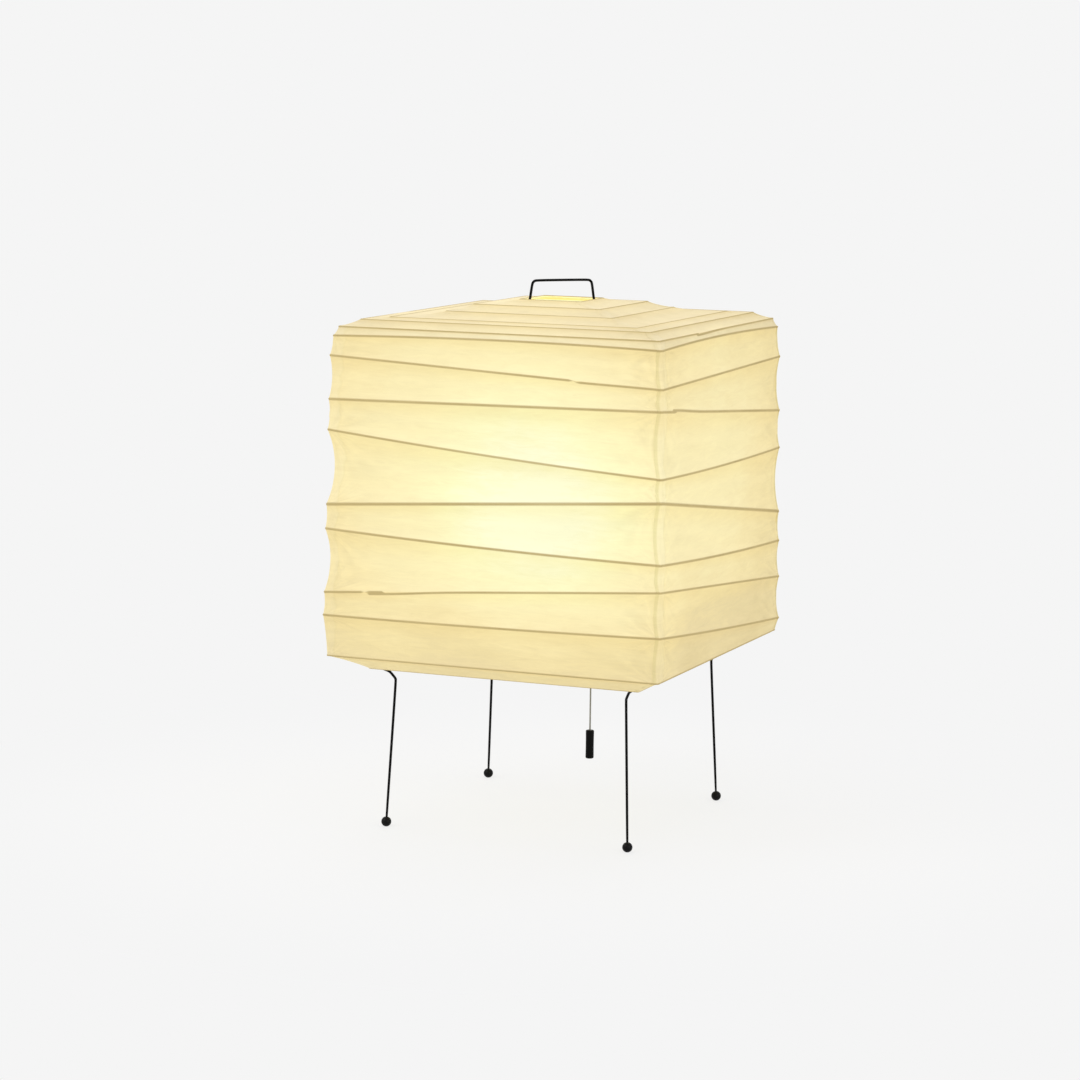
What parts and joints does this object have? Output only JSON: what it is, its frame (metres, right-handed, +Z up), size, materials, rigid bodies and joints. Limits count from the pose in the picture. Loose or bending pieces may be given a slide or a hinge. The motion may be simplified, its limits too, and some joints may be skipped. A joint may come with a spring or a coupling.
{
  "type": "andon floor lamp",
  "caption": "Square paper lantern over crooked bamboo hoops, stretched on a black wire stand with ball feet, with one bulb, a carrying handle and a pull-cord switch.",
  "frame": {"origin": "on the floor under the middle of the lamp", "axes": "+Z up, -Y out of the front side, +X out of the right side, where the pull switch is"},
  "size_m": [0.44, 0.44, 0.6756],
  "materials": {
    "washi_paper": "matte",
    "bamboo": "satin",
    "black_wire": "satin",
    "black_ball": "satin",
    "zinc_plated": "satin",
    "black_moulding": "gloss",
    "white_ceramic": "satin",
    "liner_board": "matte",
    "brass": "satin",
    "spring_steel": "satin",
    "pull_cord": "matte",
    "black_knob": "satin",
    "bulb_metal": "satin",
    "frosted_glass": "satin"
  },
  "bodies": {
    "stand": {"rim_hoop": "bamboo", "roof_hoop_5": "bamboo", "roof_hoop_4": "bamboo", "roof_hoop_3": "bamboo", "roof_hoop_2": "bamboo", "roof_hoop_1": "bamboo", "shoulder_hoop": "bamboo", "wall_hoop_1": "bamboo", "wall_hoop_2": "bamboo", "wall_hoop_3": "bamboo", "wall_hoop_4": "bamboo", "wall_hoop_5": "bamboo", "wall_hoop_6": "bamboo", "wall_hoop_7": "bamboo", "edge_hoop": "bamboo", "mouth_hoop": "bamboo", "roof_paper_front": "washi_paper", "roof_paper_right": "washi_paper", "roof_paper_back": "washi_paper", "roof_paper_left": "washi_paper", "wall_paper_front": "washi_paper", "wall_paper_right": "washi_paper", "wall_paper_back": "washi_paper", "wall_paper_left": "washi_paper", "skirt_paper_front": "washi_paper", "skirt_paper_right": "washi_paper", "skirt_paper_back": "washi_paper", "skirt_paper_left": "washi_paper", "leg_wire_front_left": "black_wire", "leg_wire_front_right": "black_wire", "leg_wire_back_right": "black_wire", "leg_wire_back_left": "black_wire", "stretcher": "black_wire", "hub_disc": "black_wire", "ferrules": "black_wire", "ball_feet": "black_ball", "nipple": "zinc_plated", "lock_nut": "zinc_plated", "holder_cap": "black_moulding", "holder_shell": "black_moulding", "switch_box": "black_moulding", "switch_lid": "black_moulding", "holder_insert": "white_ceramic", "holder_liner": "liner_board", "screw_shell": "brass", "centre_contact": "brass", "guide_bush": "brass", "return_spring": "spring_steel"},
    "bulb": {"bulb_cap": "bulb_metal", "bulb_glass": "frosted_glass"},
    "switch_rod": {"pull_rod": "brass"},
    "ring": {"cord_ring": "zinc_plated"},
    "cord": {"pull_cord": "pull_cord", "pull_knob": "black_knob"}
  },
  "joints": [
    {"name": "bulb_unscrew", "type": "slide", "parent": "stand", "child": "bulb", "axis": [0, 0, 1], "range_m": [0, 0.024]},
    {"name": "switch_pull", "type": "slide", "parent": "stand", "child": "switch_rod", "axis": [0, 0, -1], "range_m": [0, 0.009], "stiffness_N_per_m": 400, "springref_m": -0.003, "deforming": ["return_spring"]},
    {"name": "ring_swing", "type": "hinge", "parent": "switch_rod", "child": "ring", "pos_m": [0.0465, 0, 0.292], "axis": [1, 0, 0], "range_deg": [-25, 25]},
    {"name": "cord_swing", "type": "hinge", "parent": "ring", "child": "cord", "pos_m": [0.0465, 0, 0.2875], "axis": [0, 1, 0], "range_deg": [-40, 20]}
  ]
}
